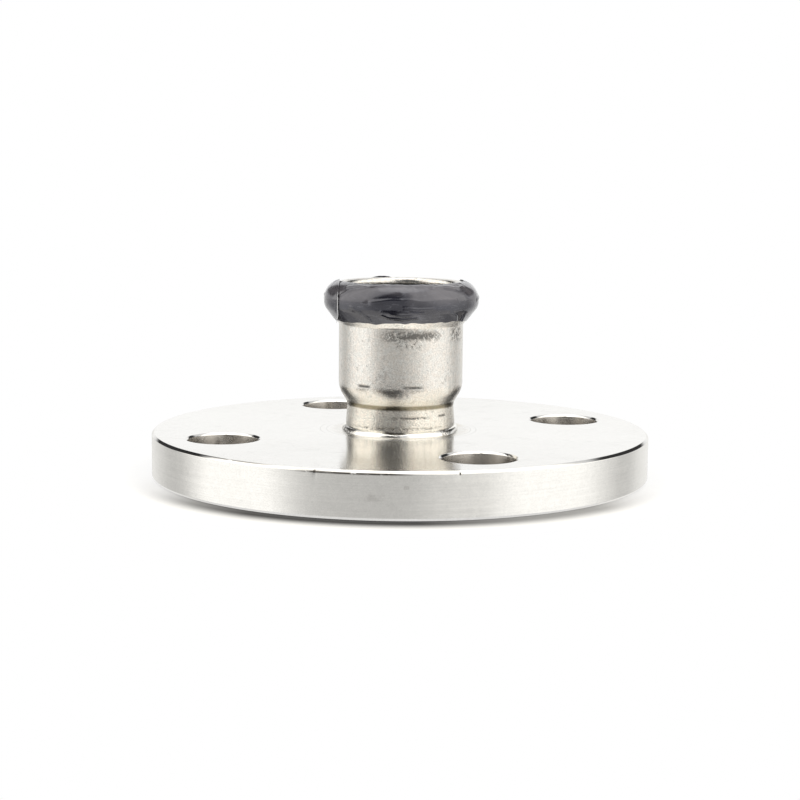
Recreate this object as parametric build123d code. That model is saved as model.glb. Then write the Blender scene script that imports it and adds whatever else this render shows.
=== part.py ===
from build123d import *
import os
from math import cos, radians, sin, tan

os.makedirs("parts", exist_ok=True)

# Stainless press fitting: a bolted flange with a press socket for a 22 mm tube welded into it.
# Millimetres. The origin is the centre of the flange's flat sealing face, +Z runs up the tube.
# Profiles are drawn as radius against height and turned about the Z axis.

# Flange
flange_diameter = 100.0
flange_thickness = 9.0
rim_chamfer = 0.5
bolt_circle_diameter = 75.0
bolt_hole_count = 4
bolt_hole_diameter = 14.0
bolt_hole_chamfer = 0.4
first_bolt_hole_angle = 45.0
neck_clearance = 0.4

# Formed tube: neck, cone and socket
tube_wall = 1.3
neck_diameter = 22.0
neck_height = 5.6
neck_straight_height = 1.9
waist_depth = 0.3
cone_height = 2.9
socket_bore_diameter = 22.4
insertion_depth = 21.5
tube_end_recess = 1.5

# Bends of the tube, as radii on the hollow side of each bend
waist_bend = 6.0
cone_foot_bend = 1.5
shoulder_bend = 3.7
bead_root_bend = 0.8
bead_flank_bend = 1.2

# Seal ring and the bead that is formed round it
seal_section_diameter = 2.8
seal_bore_recess = 0.05
seal_back_clearance = 0.05
seal_flank_clearance = 0.15
seal_room = 0.8
bead_flank_angle = 38.0
lip_angle = 6.0
mouth_chamfer = 0.3

# Press film
film_thickness = 0.15
film_gap = 0.02
film_foot_height = 0.7
film_lift = 0.25
film_mouth_margin = 1.4

# Welds
outer_weld_foot = 1.5
outer_weld_height = 0.9
inner_weld_face_drop = 0.3
weld_crown = 0.12

# Sizes that follow from the ones above
flange_radius = flange_diameter / 2
neck_radius = neck_diameter / 2
neck_bore_radius = neck_radius - tube_wall
flange_bore_radius = neck_radius + neck_clearance
waist_radius = neck_radius - waist_depth
socket_bore_radius = socket_bore_diameter / 2
socket_radius = socket_bore_radius + tube_wall

cone_foot_height = flange_thickness + neck_height
shoulder_height = cone_foot_height + cone_height
mouth_height = shoulder_height + insertion_depth

seal_section_radius = seal_section_diameter / 2
seal_ring_radius = socket_bore_radius + seal_bore_recess + seal_section_radius
chamber_radius = seal_ring_radius + seal_section_radius + seal_back_clearance
bead_radius = chamber_radius + tube_wall
bead_crown_bend = seal_section_radius + seal_room

lip_slope = tan(radians(lip_angle))
flank_slope = tan(radians(bead_flank_angle))
crown_corner_height = mouth_height - (bead_radius - socket_bore_radius) * lip_slope


def seal_height():
    """Height of the seal ring's middle: its section lies the seal's room and the wall below the lip."""
    below_lip = seal_section_radius + seal_room + tube_wall
    sideways = (seal_ring_radius - socket_bore_radius) * sin(radians(lip_angle))
    return mouth_height - (below_lip + sideways) / cos(radians(lip_angle))


def bead_root_height():
    """Height where the bead's flank leaves the socket, so that the flank clears the seal's section."""
    off_flank = seal_section_radius + seal_flank_clearance + tube_wall
    sideways = (seal_ring_radius - socket_radius) * cos(radians(bead_flank_angle))
    return seal_height() - (off_flank + sideways) / sin(radians(bead_flank_angle))


def lip_height(radius):
    """Height of the lip's upper side at a radius between the mouth and the crown of the bead."""
    return mouth_height - (radius - socket_bore_radius) * lip_slope


def bead_corners():
    """Corners of the bead's outer line, from its root on the socket to the corner over its crown."""
    flank_corner_height = bead_root_height() + (bead_radius - socket_radius) / flank_slope
    return [
        (socket_radius, bead_root_height()),
        (bead_radius, flank_corner_height),
        (bead_radius, crown_corner_height),
    ]


def turned(profile):
    """Solid made by turning a flat face of radius against height about the Z axis."""
    return revolve(Plane.XZ * profile, Axis.Z)


def make_flange():
    """Disc with a chamfered rim, a bore for the tube's neck and a ring of chamfered bolt holes."""
    rim_flat_radius = flange_radius - rim_chamfer
    section = make_face(
        Polyline(
            (flange_bore_radius, 0),
            (rim_flat_radius, 0),
            (flange_radius, rim_chamfer),
            (flange_radius, flange_thickness - rim_chamfer),
            (rim_flat_radius, flange_thickness),
            (flange_bore_radius, flange_thickness),
            close=True,
        )
    )
    holes = PolarLocations(bolt_circle_diameter / 2, bolt_hole_count, first_bolt_hole_angle)
    return turned(section) - holes * bolt_hole_space()


def bolt_hole_space():
    """What a drill and countersink take out of the flange for one bolt hole, a little past both faces."""
    hole_radius = bolt_hole_diameter / 2
    past = bolt_hole_chamfer
    wide = hole_radius + bolt_hole_chamfer + past
    section = make_face(
        Polyline(
            (0, -past),
            (wide, -past),
            (hole_radius, bolt_hole_chamfer),
            (hole_radius, flange_thickness - bolt_hole_chamfer),
            (wide, flange_thickness + past),
            (0, flange_thickness + past),
            close=True,
        )
    )
    return turned(section)


def make_formed_tube():
    """One tube of even wall: its outer line with rounded bends, and the same line moved in by the wall."""
    wall_past_mouth = tube_wall * sin(radians(lip_angle)) + mouth_chamfer
    lip_end_radius = socket_bore_radius - wall_past_mouth
    outer_line = FilletPolyline(
        (neck_radius, tube_end_recess),
        (neck_radius, flange_thickness + neck_straight_height),
        (waist_radius, cone_foot_height),
        (socket_radius, shoulder_height),
        *bead_corners(),
        (lip_end_radius, lip_height(lip_end_radius)),
        radius=[
            waist_bend + tube_wall,
            cone_foot_bend,
            shoulder_bend + tube_wall,
            bead_root_bend,
            bead_flank_bend + tube_wall,
            bead_crown_bend + tube_wall,
        ],
    )
    wall = make_face(offset(outer_line, tube_wall, side=Side.LEFT, closed=True))
    return turned(wall - mouth_space())


def mouth_space():
    """Flat face that trims the lip to the socket's bore and chamfers its upper edge as a lead-in."""
    above = mouth_height + mouth_chamfer
    return make_face(
        Polyline(
            (0, seal_height()),
            (socket_bore_radius, seal_height()),
            (socket_bore_radius, mouth_height - mouth_chamfer),
            (socket_bore_radius + 2 * mouth_chamfer, above),
            (0, above),
            close=True,
        )
    )


def make_seal_ring():
    """Rubber ring of round section that lies in the bead, just clear of the tube's bore."""
    return Pos(0, 0, seal_height()) * Torus(seal_ring_radius, seal_section_radius)


def make_press_film():
    """Film shrunk over the bead: from low on its flank, round the crown, and then just clear of the lip."""
    lift = Vector(0, film_lift)
    half_turn_over_crown = radians((90 - lip_angle) / 2)
    root, flank_corner, crown_corner = (Vector(*corner) for corner in bead_corners())
    bead_line = FilletPolyline(
        root + Vector(flank_slope, 1) * film_foot_height,
        flank_corner,
        crown_corner + lift,
        Vector(socket_bore_radius, mouth_height) + lift,
        radius=[
            bead_flank_bend + tube_wall,
            bead_crown_bend + tube_wall + film_lift / tan(half_turn_over_crown),
        ],
    )
    film_and_gap = make_face(offset(bead_line, film_gap + film_thickness, side=Side.RIGHT, closed=True))
    gap = make_face(offset(bead_line, film_gap, side=Side.RIGHT, closed=True))
    return turned(film_and_gap - gap - bare_lip_space())


def bare_lip_space():
    """Flat face over the part of the lip that the film leaves bare."""
    film_end_radius = socket_bore_radius + film_mouth_margin
    above = mouth_height + film_lift + 2 * film_thickness
    return make_face(
        Polyline(
            (0, seal_height()),
            (film_end_radius, seal_height()),
            (film_end_radius, above),
            (0, above),
            close=True,
        )
    )


def weld_section(corner, foot, top):
    """Three-sided weld face: two straight sides on the metal and a slightly raised arc between them."""
    middle = (Vector(*foot) + Vector(*top)) / 2
    outward = (middle - Vector(*corner)).normalized()
    crown = middle + outward * weld_crown
    return make_face([Line(top, corner), Line(corner, foot), ThreePointArc(foot, crown, top)])


def make_outer_weld():
    """Bead in the corner between the neck and the flange's upper face."""
    return turned(
        weld_section(
            (neck_radius, flange_thickness),
            (neck_radius + outer_weld_foot, flange_thickness),
            (neck_radius, flange_thickness + outer_weld_height),
        )
    )


def make_inner_weld():
    """Seal weld between the tube's end and the flange's bore, a little above the sealing face."""
    return turned(
        weld_section(
            (flange_bore_radius, tube_end_recess),
            (neck_bore_radius, tube_end_recess),
            (flange_bore_radius, inner_weld_face_drop),
        )
    )


sub_parts = {
    "flange": make_flange(),
    "formed_tube": make_formed_tube(),
    "outer_weld": make_outer_weld(),
    "inner_weld": make_inner_weld(),
    "seal_ring": make_seal_ring(),
    "press_film": make_press_film(),
}

for node, solid in sub_parts.items():
    export_step(solid, f"parts/{node}.step")
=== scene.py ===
import math

import bmesh
import bpy
import numpy as np
from mathutils import Matrix, Vector


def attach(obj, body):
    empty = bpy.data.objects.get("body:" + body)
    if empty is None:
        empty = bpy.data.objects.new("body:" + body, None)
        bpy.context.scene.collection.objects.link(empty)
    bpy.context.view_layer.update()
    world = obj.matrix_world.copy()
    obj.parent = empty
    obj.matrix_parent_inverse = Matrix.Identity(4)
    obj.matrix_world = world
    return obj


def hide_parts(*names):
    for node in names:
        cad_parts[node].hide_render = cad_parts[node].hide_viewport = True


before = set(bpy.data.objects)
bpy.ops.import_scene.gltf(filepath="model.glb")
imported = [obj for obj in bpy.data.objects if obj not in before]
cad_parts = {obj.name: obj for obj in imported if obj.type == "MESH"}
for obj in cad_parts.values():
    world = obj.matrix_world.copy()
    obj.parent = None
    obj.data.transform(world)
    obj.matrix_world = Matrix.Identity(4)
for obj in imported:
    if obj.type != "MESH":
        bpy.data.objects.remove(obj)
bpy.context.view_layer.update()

# Stainless press fitting: a bolted flange, the formed tube welded into it, and the film over its bead.
# Profiles are worked out in millimetres, as radius against height, and go into the meshes in metres.

MM = 0.001
FULL_TURN = 2 * math.pi

# Sizes of the fitting, the same as in the part
FLANGE_RADIUS = 50.0
FLANGE_THICKNESS = 9.0
RIM_CHAMFER = 0.5
BOLT_CIRCLE_RADIUS = 37.5
BOLT_HOLE_RADIUS = 7.0
BOLT_HOLE_CHAMFER = 0.4
BOLT_HOLE_ANGLES = (45.0, 135.0, 225.0, 315.0)
FLANGE_BORE_RADIUS = 11.4

TUBE_WALL = 1.3
TUBE_END = 1.5
NECK_RADIUS = 11.0
WAIST_RADIUS = 10.7
NECK_TOP = 10.9
CONE_FOOT = 14.6
SHOULDER = 17.5
MOUTH = 39.0
SOCKET_BORE_RADIUS = 11.2
SOCKET_RADIUS = 12.5
MOUTH_ROUNDING = 0.95
WAIST_BEND = 7.3
CONE_FOOT_BEND = 2.4
SHOULDER_BEND = 5.0

SEAL_RADIUS = 1.4
SEAL_RING_RADIUS = 12.65
SEAL_ROOM = 0.8
BEAD_RADIUS = 15.4
BEAD_ROOT_BEND = 0.8
BEAD_FLANK_BEND = 2.5
BEAD_CROWN_BEND = 3.5
LIP_SLOPE = math.tan(math.radians(6.0))
FLANK_ANGLE = math.radians(38.0)

FILM_CLEARANCE = 0.03
FILM_LIFT = 0.25
FILM_THICKNESS = 0.07
FILM_END_RADIUS = 12.6

WELD_FOOT = 1.22
WELD_HEIGHT = 1.06

# The photograph's camera: how far round the axis it stands, and its place and tilt
CAMERA_AZIMUTH = math.radians(22.1)
CAMERA_DISTANCE = 370.39
CAMERA_HEIGHT = 65.92
CAMERA_SIDE = -0.064
CAMERA_PITCH = 0.13699
CAMERA_ROLL = 0.0088
CAMERA_LENS = 83.03
FRONT_ANGLE = CAMERA_AZIMUTH - math.pi / 2


def seen_at(degrees):
    """Angle round the axis of what lies that many degrees to the right of the camera's direction."""
    return FRONT_ANGLE + math.radians(degrees)


# Profiles


def rounded_line(corners, bends, arc_step=6.0, run_step=1.5):
    """Points and unit normals along a line of straight runs with rounded corners.

    A corner is cut back along both runs by its bend times the tangent of half the turn, and an arc
    of that bend joins the cuts. The normals point to the right of the way the line runs.
    """
    corners = np.array(corners, float)
    points, normals = [], []
    start = corners[0]
    for k in range(1, len(corners)):
        run = corners[k] - corners[k - 1]
        ahead = run / np.hypot(*run)
        right = np.array([ahead[1], -ahead[0]])
        bend = bends[k - 1] if k < len(corners) - 1 else 0.0
        turn = 0.0
        if bend:
            following = corners[k + 1] - corners[k]
            following = following / np.hypot(*following)
            turn = math.atan2(ahead[0] * following[1] - ahead[1] * following[0], ahead @ following)
        cut = bend * math.tan(abs(turn) / 2)
        end = corners[k] - ahead * cut
        count = max(1, math.ceil(np.hypot(*(end - start)) / run_step))
        share = np.linspace(0, 1, count + 1)[:, None]
        points.append(start + (end - start) * share)
        normals.append(np.repeat(right[None], count + 1, axis=0))
        start = end
        if cut:
            side = math.copysign(1.0, turn)
            centre = end - right * side * bend
            steps = max(2, math.ceil(abs(math.degrees(turn)) / arc_step))
            angle = np.linspace(0, turn, steps + 1)[1:, None]
            across = np.cos(angle) * right + np.sin(angle) * ahead
            points.append(centre + across * side * bend)
            normals.append(across)
            start = points[-1][-1]
    points, normals = np.concatenate(points), np.concatenate(normals)
    kept = np.r_[True, np.hypot(*np.diff(points, axis=0).T) > 1e-6]
    return points[kept], normals[kept]


def evenly(points, normals, count):
    """The same line with that many points at even distances along it, and its whole length."""
    along = np.r_[0, np.cumsum(np.hypot(*np.diff(points, axis=0).T))]
    places = np.linspace(0, along[-1], count)
    line = np.stack([np.interp(places, along, points[:, k]) for k in (0, 1)], axis=1)
    across = np.stack([np.interp(places, along, normals[:, k]) for k in (0, 1)], axis=1)
    return line, across / np.hypot(*across.T)[:, None], along[-1]


def bead_corners():
    """Corners of the bead's outer line: its root, the corner under its crown and the one over it."""
    lip = math.radians(6.0)
    below = (SEAL_RADIUS + SEAL_ROOM + TUBE_WALL + (SEAL_RING_RADIUS - SOCKET_BORE_RADIUS) * math.sin(lip))
    seal_height = MOUTH - below / math.cos(lip)
    off_flank = SEAL_RADIUS + 0.15 + TUBE_WALL
    drop = off_flank + (SEAL_RING_RADIUS - SOCKET_RADIUS) * math.cos(FLANK_ANGLE)
    root = seal_height - drop / math.sin(FLANK_ANGLE)
    flank_top = root + (BEAD_RADIUS - SOCKET_RADIUS) / math.tan(FLANK_ANGLE)
    crown_corner = MOUTH - (BEAD_RADIUS - SOCKET_BORE_RADIUS) * LIP_SLOPE
    return seal_height, [(SOCKET_RADIUS, root), (BEAD_RADIUS, flank_top), (BEAD_RADIUS, crown_corner)]


SEAL_HEIGHT, BEAD = bead_corners()


# Meshes


def grid_faces(rows, columns, wrap_rows, wrap_columns):
    """Vertex numbers of a grid's four-sided faces, and each corner's row and column before wrapping."""
    row, column = np.meshgrid(np.arange(rows - (not wrap_rows)), np.arange(columns - (not wrap_columns)), indexing="ij")
    steps = np.array([[0, 0], [0, 1], [1, 1], [1, 0]])
    corner = np.stack([row.ravel(), column.ravel()], axis=1)[:, None, :] + steps[None]
    faces = (corner[..., 0] % rows) * columns + corner[..., 1] % columns
    return faces, corner


def mesh_object(name, parts, sharp_angle=30.0, zones=None, merge=None):
    """One smooth-shaded mesh object from grids of points in millimetres.

    parts holds (points [rows, columns, 3], wraps rows, wraps columns). The UV map runs once over each
    grid: u along its columns, v along its rows. zones gives each grid, or each of its rows of faces, a number
    in the face attribute zone.
    """
    points, faces, corners, zone, start = [], [], [], [], 0
    for k, (grid, wrap_rows, wrap_columns) in enumerate(parts):
        rows, columns = grid.shape[:2]
        numbers, corner = grid_faces(rows, columns, wrap_rows, wrap_columns)
        size = np.array([rows - (not wrap_rows), columns - (not wrap_columns)], float)
        points.append(grid.reshape(-1, 3) * MM)
        faces.append(numbers + start)
        corners.append((corner / size)[..., ::-1].reshape(-1, 2))
        by_row = np.broadcast_to(zones[k] if zones else 0.0, int(size[0])).astype(float)
        zone.append(np.repeat(by_row, int(size[1])))
        start += rows * columns
    mesh = bpy.data.meshes.new(name)
    mesh.from_pydata(np.concatenate(points).tolist(), [], np.concatenate(faces).tolist())
    uv = mesh.uv_layers.new(name="UVMap")
    uv.data.foreach_set("uv", np.concatenate(corners).astype(np.float32).ravel())
    attribute = mesh.attributes.new("zone", "FLOAT", "FACE")
    attribute.data.foreach_set("value", np.concatenate(zone).astype(np.float32))
    if merge:
        work = bmesh.new()
        work.from_mesh(mesh)
        bmesh.ops.remove_doubles(work, verts=work.verts, dist=merge * MM)
        work.to_mesh(mesh)
        work.free()
    mesh.shade_smooth()
    mesh.set_sharp_from_angle(angle=math.radians(sharp_angle))
    mesh.update()
    piece = bpy.data.objects.new(name, mesh)
    bpy.context.scene.collection.objects.link(piece)
    return piece


def turned(profile, columns, bumps=None):
    """Grid of a profile turned about Z: x = r cos(a), y = r sin(a), z = height, for evenly spaced angles a.

    bumps is added to the radius of the whole grid, as an array of rows by columns.
    """
    angle = np.linspace(0, FULL_TURN, columns, endpoint=False)[None]
    radius = profile[:, :1] + (0 if bumps is None else bumps)
    height = np.broadcast_to(profile[:, 1:], (len(profile), columns))
    return np.stack([radius * np.cos(angle), radius * np.sin(angle), height], axis=-1)


def angle_from(angle, centre):
    """Angle minus centre, brought between minus and plus half a turn."""
    return (angle - centre + math.pi) % FULL_TURN - math.pi


def waves(angle, counts, seed):
    """Sum of sines of the angle, with those whole numbers of waves round the turn and seeded phases."""
    phases = np.random.default_rng(seed).uniform(0, FULL_TURN, len(counts))
    return sum(np.sin(angle * count + phase) for count, phase in zip(counts, phases)) / len(counts)


def finish_piece(piece, material, node):
    """Gives a piece its material and its slot, and sets it in place of the part's node."""
    piece.data.materials.append(material)
    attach(piece, "root")
    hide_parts(node)
    return piece


# Flange

FLANGE_COLUMNS = 960

# Small dents in the rim's upper edge, which the steel's colour also fills with painted shade, as (angle round the axis,
# width, depth)
NICKS = ((seen_at(-17.7), 0.30, 0.09), (seen_at(12.4), 0.20, 0.05), (seen_at(118.0), 0.4, 0.10),
         (seen_at(-142.0), 0.35, 0.08))


def rim_grid():
    """Rim with its two chamfers, turned about Z, with small dents pressed into the upper edge.

    A dent lowers the radius by its depth times a bell curve of the distance along the edge and of the
    distance from the chamfer's height.
    """
    flat = FLANGE_RADIUS - RIM_CHAMFER
    top = FLANGE_THICKNESS
    line, _ = rounded_line(
        [(flat - 1.0, 0), (flat, 0), (FLANGE_RADIUS, RIM_CHAMFER), (FLANGE_RADIUS, top - RIM_CHAMFER),
         (flat, top), (flat - 1.0, top)],
        [0.14] * 4, arc_step=11.0, run_step=2.0)
    angle = np.linspace(0, FULL_TURN, FLANGE_COLUMNS, endpoint=False)[None]
    bumps = np.zeros((len(line), FLANGE_COLUMNS))
    near_edge = np.exp(-(((line[:, 1:] - (top - RIM_CHAMFER)) / 0.16) ** 2))
    for centre, width, depth in NICKS:
        bumps -= depth * near_edge * np.exp(-((angle_from(angle, centre) * FLANGE_RADIUS / width) ** 2))
    return turned(line, FLANGE_COLUMNS, bumps), edge_zones(line, 1.0, FLANGE_THICKNESS)


def edge_zones(line, zone, thickness):
    """Zone of each face between a profile's rows: 3 on the chamfers and rounded edges, the given one between."""
    middle = (line[1:, 1] + line[:-1, 1]) / 2
    from_face = np.minimum(middle, thickness - middle)
    return np.where(from_face < 0.01, 0.0, np.where(from_face < 0.6, 3.0, zone))


def sector_outline(hole_angle):
    """Closed outline of a quarter of the flange's face round one hole: outer arc, side, inner arc, side."""
    quarter = FLANGE_COLUMNS // 4
    first = round(math.radians(hole_angle - 45) / FULL_TURN * FLANGE_COLUMNS)
    arc = (first + np.arange(quarter + 1)) * FULL_TURN / FLANGE_COLUMNS
    outer, inner = FLANGE_RADIUS - RIM_CHAMFER - 1.0, FLANGE_BORE_RADIUS
    side = np.linspace(outer, inner, 37)[1:-1]
    radius = np.r_[np.full(quarter + 1, outer), side, np.full(quarter + 1, inner), side[::-1]]
    angle = np.r_[arc, np.full(35, arc[-1]), arc[::-1], np.full(35, arc[0])]
    return np.stack([radius * np.cos(angle), radius * np.sin(angle)], axis=1)


def face_grids(hole_angle):
    """The flange's upper and lower face round one hole, and the hole's wall with its chamfers.

    Each face is ruled between the hole's edge and the sector's outline: a point is the edge's point
    plus a share of the way to the outline's point in the same direction from the hole's middle.
    """
    outline = sector_outline(hole_angle)
    turn = math.radians(hole_angle)
    centre = BOLT_CIRCLE_RADIUS * np.array([math.cos(turn), math.sin(turn)])
    away = outline - centre
    away /= np.hypot(*away.T)[:, None]
    top, edge = FLANGE_THICKNESS, BOLT_HOLE_RADIUS + BOLT_HOLE_CHAMFER
    wall, _ = rounded_line(
        [(edge + 0.2, top), (edge, top), (BOLT_HOLE_RADIUS, top - BOLT_HOLE_CHAMFER),
         (BOLT_HOLE_RADIUS, BOLT_HOLE_CHAMFER), (edge, 0), (edge + 0.2, 0)],
        [0.07] * 4, arc_step=23.0, run_step=9.0)
    ring = centre + away[None] * wall[:, :1, None]
    wall_grid = np.concatenate([ring, np.broadcast_to(wall[:, 1, None, None], ring.shape[:2] + (1,))], axis=-1)
    share = (np.linspace(0, 1, 8) ** 1.6)[:, None, None]
    flat = (centre + away * (edge + 0.2)) * (1 - share) + outline * share
    upper = np.concatenate([flat, np.full(flat.shape[:2] + (1,), top)], axis=-1)
    lower = np.concatenate([flat, np.zeros(flat.shape[:2] + (1,))], axis=-1)[::-1]
    return upper[::-1], lower[::-1, ::-1], wall_grid, edge_zones(wall, 2.0, FLANGE_THICKNESS)


def flange_grids():
    """Every grid of the flange and its zones: 0 a face, 1 the rim, 2 a hole's wall or the bore, 3 an edge."""
    bore = np.array([(FLANGE_BORE_RADIUS, FLANGE_THICKNESS), (FLANGE_BORE_RADIUS, 0.0)])
    rim, rim_zones = rim_grid()
    parts, zones = [(rim, False, True), (turned(bore, FLANGE_COLUMNS), False, True)], [rim_zones, 2]
    for hole_angle in BOLT_HOLE_ANGLES:
        upper, lower, wall, wall_zones = face_grids(hole_angle)
        for grid, zone in zip((upper, lower, wall), (0, 0, wall_zones)):
            parts.append((grid, False, True))
            zones.append(zone)
    return parts, zones


# Formed tube


def tube_profile():
    """Closed line of the tube's wall: up the outside, over the mouth, and down the inside.

    The inside is the outside moved in by the wall, except at the mouth, which is bored out and rounded.
    """
    lip_end = SOCKET_BORE_RADIUS - TUBE_WALL
    outer, right = rounded_line(
        [(NECK_RADIUS, TUBE_END), (NECK_RADIUS, NECK_TOP), (WAIST_RADIUS, CONE_FOOT), (SOCKET_RADIUS, SHOULDER),
         *BEAD, (lip_end, MOUTH - (lip_end - SOCKET_BORE_RADIUS) * LIP_SLOPE)],
        [WAIST_BEND, CONE_FOOT_BEND, SHOULDER_BEND, BEAD_ROOT_BEND, BEAD_FLANK_BEND, BEAD_CROWN_BEND])
    inner = outer - right * TUBE_WALL
    above = outer[:, 1] > SEAL_HEIGHT
    lip_start = SOCKET_BORE_RADIUS + 1.4
    outer = outer[~(above & (outer[:, 0] < lip_start))]
    inner = inner[~((inner[:, 1] > SEAL_HEIGHT) & (inner[:, 0] < SOCKET_BORE_RADIUS + 0.02))]
    mouth, _ = rounded_line([(lip_start, MOUTH - 1.4 * LIP_SLOPE), (SOCKET_BORE_RADIUS, MOUTH),
                             (SOCKET_BORE_RADIUS, MOUTH - TUBE_WALL - 0.01)], [MOUTH_ROUNDING], arc_step=7.0)
    return np.concatenate([outer, mouth, inner[::-1]])


def formed_tube_grid():
    """The tube's wall turned about Z, a few hundredths of a millimetre out of round."""
    profile = tube_profile()
    columns = 600
    angle = np.linspace(0, FULL_TURN, columns, endpoint=False)[None]
    height = profile[:, 1:]
    bumps = 0.012 * waves(angle + height * 0.05, (2, 3, 5, 7), 4) + 0.006 * waves(angle - height * 0.2, (11, 17, 23), 9)
    free = np.clip((height - 11.0) / 3.0, 0, 1) * np.clip((31.0 - height) / 3.0, 0, 1)
    return turned(profile, columns, bumps * free)


# Welds


def outer_weld_grid():
    """Ring round the neck: a raised arc from the neck down to the flange, with ripples round the turn.

    The arc's reach varies by a slow wave, and its crown by short ripples that lean along the bead.
    """
    columns = 720
    angle = np.linspace(0, FULL_TURN, columns, endpoint=False)[None]
    share = np.linspace(0, 1, 15)[:, None]
    beside = np.clip((np.abs(angle_from(angle, seen_at(0))) - 0.85) / 0.45, 0, 1)
    foot = WELD_FOOT + 0.08 * waves(angle, (3, 5, 8, 13), 21) - 0.45 * beside * beside * (3 - 2 * beside)
    top = WELD_HEIGHT + 0.05 * waves(angle, (4, 7, 11, 17), 22)
    top = top - 0.30 * np.exp(-((angle_from(angle, seen_at(-4)) / 0.15) ** 2))
    crown = 0.24 + 0.03 * waves(angle, (6, 9, 14), 24)
    crown = crown + 0.004 * np.sin(angle * 58 + share * 2.2 + 1.5 * waves(angle, (2, 3, 5), 23))
    swell = crown * np.sin(math.pi * share)
    radius = NECK_RADIUS + foot * (1 - share) + swell * 0.66
    height = FLANGE_THICKNESS + top * share + swell * 0.75
    inner_radius = np.linspace(NECK_RADIUS - 0.1, NECK_RADIUS - 0.1, columns)[None]
    radius = np.concatenate([np.broadcast_to(radius, (15, columns)), inner_radius, inner_radius])
    height = np.concatenate([height, height[-1:], np.full((1, columns), FLANGE_THICKNESS)])
    return np.stack([radius * np.cos(angle), radius * np.sin(angle), height], axis=-1)


def inner_weld_grid():
    """Ring between the tube's end and the flange's bore, a sloping arc with ripples round the turn."""
    columns = 600
    angle = np.linspace(0, FULL_TURN, columns, endpoint=False)[None]
    share = np.linspace(0, 1, 11)[:, None]
    inside, outside = NECK_RADIUS - TUBE_WALL, FLANGE_BORE_RADIUS
    crown = (0.10 + 0.02 * np.sin(angle * 58 + share * 2.0)) * np.sin(math.pi * share)
    radius = inside + (outside - inside) * share + 0.58 * -crown + 0 * angle
    height = TUBE_END + (0.3 - TUBE_END) * share - 0.81 * crown
    back = np.full((1, columns), outside)
    radius = np.concatenate([radius, back])
    height = np.concatenate([height, np.full((1, columns), TUBE_END)])
    return np.stack([radius * np.cos(angle), radius * np.sin(angle), height], axis=-1)


# Seal ring


def seal_ring_grid():
    """Torus: radius = ring + section cos(b), height = middle + section sin(b), for b once round the section."""
    round_section = np.linspace(0, FULL_TURN, 40, endpoint=False)
    line = np.stack([SEAL_RING_RADIUS + SEAL_RADIUS * np.cos(round_section),
                     SEAL_HEIGHT + SEAL_RADIUS * np.sin(round_section)], axis=1)
    return turned(line, 240)


# Press film

FILM_ROWS = 84
FILM_COLUMNS = 520
FILM_SEAM = seen_at(-51.0)
FILM_OVERLAP = math.radians(24.0)
FILM_SEAM_OFFSET = 12.15

# Creases of the film as (height, width, (degrees to the right of the camera, share of the way up) ...)
FILM_CREASES = (
    (0.16, 0.34, (-22, 0.52), (-8, 0.565), (6, 0.57), (18, 0.55), (30, 0.575), (44, 0.56)),
    (0.12, 0.22, (2, 0.43), (12, 0.40), (24, 0.41)),
    (0.14, 0.24, (-40, 0.42), (-32, 0.34), (-26, 0.20), (-25, 0.08)),
    (0.12, 0.22, (-14, 0.38), (-16, 0.28), (-10, 0.20), (2, 0.17), (12, 0.20)),
    (0.10, 0.22, (-8, 0.30), (0, 0.25), (8, 0.26)),
    (0.14, 0.30, (40, 0.30), (48, 0.22), (52, 0.10)),
    (0.16, 0.30, (-48, 0.80), (-38, 0.86), (-24, 0.84), (-10, 0.90)),
    (0.14, 0.30, (28, 0.83), (40, 0.86), (52, 0.78), (60, 0.84)),
    (0.15, 0.24, (-53, 0.56), (-44, 0.72), (-30, 0.80), (-14, 0.93)),
    (0.15, 0.34, (75, 0.50), (95, 0.56), (118, 0.52), (140, 0.58)),
    (0.13, 0.28, (100, 0.30), (120, 0.24), (136, 0.30)),
    (0.15, 0.34, (160, 0.60), (182, 0.54), (205, 0.58), (226, 0.53)),
    (0.12, 0.26, (172, 0.34), (190, 0.28), (214, 0.32)),
    (0.14, 0.30, (242, 0.62), (262, 0.55), (280, 0.58)),
    (0.12, 0.24, (236, 0.30), (254, 0.24), (270, 0.30)),
)


def film_line():
    """Line that the film's inner side follows: up the bead's flank, round its crown, and over the lip."""
    root, flank_corner, crown_corner = (np.array(corner) for corner in BEAD)
    lift = np.array([0, FILM_LIFT])
    half_turn = math.radians((90 - 6.0) / 2)
    line, right = rounded_line(
        [root + np.array([math.tan(FLANK_ANGLE), 1]) * 0.7, flank_corner, crown_corner + lift,
         np.array([SOCKET_BORE_RADIUS, MOUTH]) + lift],
        [BEAD_FLANK_BEND, BEAD_CROWN_BEND + FILM_LIFT / math.tan(half_turn)], arc_step=3.0, run_step=0.3)
    line = line + right * FILM_CLEARANCE
    kept = (line[:, 0] > FILM_END_RADIUS - 0.4) | (line[:, 1] < SEAL_HEIGHT)
    return line[kept], right[kept]


def crease(angle, along, height, width, path):
    """Ridge along a path on the film: height times a bell curve of the distance to the nearest part of it."""
    x, y = angle * BEAD_RADIUS, along
    nearest = np.full(np.broadcast(x, y).shape, 1e9)
    for (x0, y0), (x1, y1) in zip(path[:-1], path[1:]):
        run = (x1 - x0, y1 - y0)
        share = np.clip(((x - x0) * run[0] + (y - y0) * run[1]) / (run[0] ** 2 + run[1] ** 2), 0, 1)
        nearest = np.minimum(nearest, np.hypot(x - x0 - share * run[0], y - y0 - share * run[1]))
    return height * np.exp(-((nearest / width) ** 2))


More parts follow.
